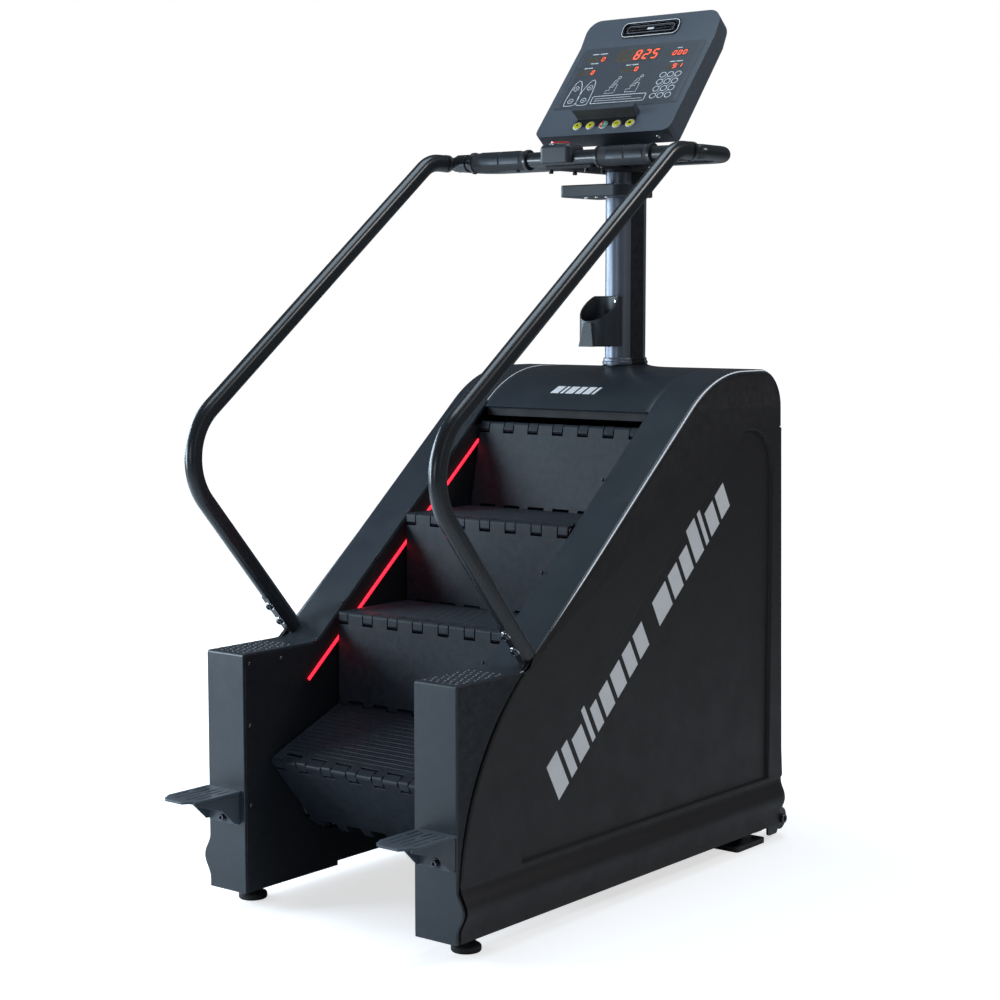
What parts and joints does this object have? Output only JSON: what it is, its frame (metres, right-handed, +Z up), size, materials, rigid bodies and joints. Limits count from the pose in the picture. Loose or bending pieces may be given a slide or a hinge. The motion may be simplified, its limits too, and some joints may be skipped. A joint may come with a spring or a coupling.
{
  "type": "stair climber",
  "caption": "Revolving-staircase gym machine with covered sides, bent handrails, oval column, hand bar and a tilted console.",
  "frame": {"origin": "on the floor, under the middle of the machine's bounding box", "axes": "+Z up, +X to the right of a user facing the console, +Y from the user towards the console"},
  "size_m": [0.733, 1.42, 1.9743],
  "materials": {
    "black_trim": "satin",
    "side_shell": "matte",
    "step_plastic": "matte",
    "frame_steel": "satin",
    "tube_black": "satin",
    "bare_steel": "machined",
    "chrome": "polished",
    "foam_black": "matte",
    "rubber_black": "matte",
    "console_shell": "matte",
    "console_face": "satin",
    "display_red": "gloss",
    "board_green": "matte",
    "led_red": "gloss",
    "stop_red": "gloss",
    "button_yellow": "gloss",
    "button_split": "gloss",
    "motor_grey": "satin"
  },
  "bodies": {
    "machine": {"main_frame": "frame_steel", "left_trim": "black_trim", "right_trim": "black_trim", "left_side_cover": "side_shell", "right_side_cover": "side_shell", "left_inner_wall": "black_trim", "right_inner_wall": "black_trim", "top_cover": "black_trim", "rear_cover": "side_shell", "led_strips": "led_red", "column": "tube_black", "column_collar": "tube_black", "bottle_holder": "console_shell", "accessory_shelf": "console_shell", "handlebar_loop": "tube_black", "left_handrail": "tube_black", "right_handrail": "tube_black", "handrail_sleeves": "tube_black", "hand_grips": "foam_black", "pulse_sensors": "chrome", "stop_switch_box": "console_shell", "console_neck": "console_shell", "console_housing": "console_shell", "console_panel": "console_face", "display_windows": "display_red", "fan_grille": "console_shell", "console_board": "board_green", "foot_pedals": "tube_black", "rear_foot_plates": "frame_steel", "bearing_blocks": "motor_grey", "drive_motor": "motor_grey", "drive_belt": "rubber_black", "control_box": "motor_grey", "fasteners": "chrome"},
    "flight": {"riser_1": "step_plastic", "tread_2": "step_plastic", "riser_2": "step_plastic", "tread_3": "step_plastic", "flight_rods": "bare_steel", "flight_chains": "bare_steel"},
    "top_riser": {"top_riser": "step_plastic"},
    "top_tread": {"top_tread": "step_plastic"},
    "bottom_tread": {"bottom_tread": "step_plastic"},
    "bottom_riser": {"bottom_riser": "step_plastic"},
    "return_run": {"return_steps": "step_plastic", "return_chains": "bare_steel"},
    "drive_shaft": {"drive_shaft": "bare_steel"},
    "idler_shaft": {"idler_shaft": "bare_steel"},
    "motor_pulley": {"motor_pulley": "bare_steel"},
    "stop_button": {"stop_button": "stop_red"},
    "fan_rotor": {"fan_rotor": "console_shell"},
    "left_wheel": {"left_wheel": "rubber_black"},
    "right_wheel": {"right_wheel": "rubber_black"},
    "left_front_foot": {"left_front_foot": "rubber_black"},
    "right_front_foot": {"right_front_foot": "rubber_black"},
    "button_1": {"button_1": "button_yellow"},
    "button_2": {"button_2": "button_yellow"},
    "button_3": {"button_3": "button_split"},
    "button_4": {"button_4": "button_yellow"},
    "button_5": {"button_5": "button_yellow"}
  },
  "joints": [
    {"name": "stair_run", "type": "slide", "parent": "machine", "child": "flight", "axis": [0, 0.7546, 0.6562], "range_m": [-0.06, 0.06]},
    {"name": "top_riser_hinge", "type": "hinge", "parent": "flight", "child": "top_riser", "pos_m": [0, 0.198, 0.801], "axis": [1, 0, 0], "range_deg": [-9.68, 9.68]},
    {"name": "top_tread_hinge", "type": "hinge", "parent": "top_riser", "child": "top_tread", "pos_m": [0, 0.23787, 0.99699], "axis": [1, 0, 0], "range_deg": [-9.68, 9.68]},
    {"name": "bottom_tread_hinge", "type": "hinge", "parent": "flight", "child": "bottom_tread", "pos_m": [0, -0.262, 0.401], "axis": [1, 0, 0], "range_deg": [-15.53, 15.53]},
    {"name": "bottom_riser_hinge", "type": "hinge", "parent": "bottom_tread", "child": "bottom_riser", "pos_m": [0, -0.47525, 0.31484], "axis": [1, 0, 0], "range_deg": [-10.71, 10.71]},
    {"name": "return_run_slide", "type": "slide", "parent": "machine", "child": "return_run", "axis": [0, 0.7546, 0.6562], "range_m": [-0.0605, 0.0605]},
    {"name": "drive_shaft_spin", "type": "hinge", "parent": "machine", "child": "drive_shaft", "pos_m": [0, 0.38819, 0.829], "axis": [1, 0, 0], "range_deg": [-33.56, 33.56]},
    {"name": "idler_shaft_spin", "type": "hinge", "parent": "machine", "child": "idler_shaft", "pos_m": [0, -0.28603, 0.24271], "axis": [1, 0, 0], "range_deg": [-33.56, 33.56]},
    {"name": "motor_pulley_spin", "type": "hinge", "parent": "machine", "child": "motor_pulley", "pos_m": [0.294, 0.502, 0.19], "axis": [1, 0, 0], "range_deg": [-115.48, 115.48]},
    {"name": "stop_button_press", "type": "slide", "parent": "machine", "child": "stop_button", "axis": [0, 0, -1], "range_m": [0, 0.004], "stiffness_N_per_m": 400},
    {"name": "fan_spin", "type": "hinge", "parent": "machine", "child": "fan_rotor", "pos_m": [0, 0.61405, 1.92939], "axis": [0, -0.866, 0.5], "continuous": true},
    {"name": "left_wheel_spin", "type": "hinge", "parent": "machine", "child": "left_wheel", "pos_m": [-0.317, 0.678, 0.048], "axis": [1, 0, 0], "continuous": true},
    {"name": "right_wheel_spin", "type": "hinge", "parent": "machine", "child": "right_wheel", "pos_m": [0.317, 0.678, 0.048], "axis": [1, 0, 0], "continuous": true},
    {"name": "left_foot_turn", "type": "hinge", "parent": "machine", "child": "left_front_foot", "pos_m": [-0.3, -0.478, 0], "axis": [0, 0, 1], "continuous": true},
    {"name": "right_foot_turn", "type": "hinge", "parent": "machine", "child": "right_front_foot", "pos_m": [0.3, -0.478, 0], "axis": [0, 0, 1], "continuous": true},
    {"name": "button_1_press", "type": "slide", "parent": "machine", "child": "button_1", "axis": [0, 0.766, -0.6428], "range_m": [0, 0.002], "stiffness_N_per_m": 300},
    {"name": "button_2_press", "type": "slide", "parent": "machine", "child": "button_2", "axis": [0, 0.766, -0.6428], "range_m": [0, 0.002], "stiffness_N_per_m": 300},
    {"name": "button_3_press", "type": "slide", "parent": "machine", "child": "button_3", "axis": [0, 0.766, -0.6428], "range_m": [0, 0.002], "stiffness_N_per_m": 300},
    {"name": "button_4_press", "type": "slide", "parent": "machine", "child": "button_4", "axis": [0, 0.766, -0.6428], "range_m": [0, 0.002], "stiffness_N_per_m": 300},
    {"name": "button_5_press", "type": "slide", "parent": "machine", "child": "button_5", "axis": [0, 0.766, -0.6428], "range_m": [0, 0.002], "stiffness_N_per_m": 300}
  ],
  "couplings": [
    {"joint": "top_riser_hinge", "follows": "stair_run", "rad_per_m": -2.7},
    {"joint": "top_tread_hinge", "follows": "stair_run", "rad_per_m": -2.7},
    {"joint": "bottom_tread_hinge", "follows": "stair_run", "rad_per_m": -4.4},
    {"joint": "bottom_riser_hinge", "follows": "stair_run", "rad_per_m": -3},
    {"joint": "return_run_slide", "follows": "stair_run", "ratio": -1},
    {"joint": "drive_shaft_spin", "follows": "stair_run", "rad_per_m": -9.6458},
    {"joint": "idler_shaft_spin", "follows": "stair_run", "rad_per_m": -9.6458},
    {"joint": "motor_pulley_spin", "follows": "stair_run", "rad_per_m": -33.477}
  ]
}
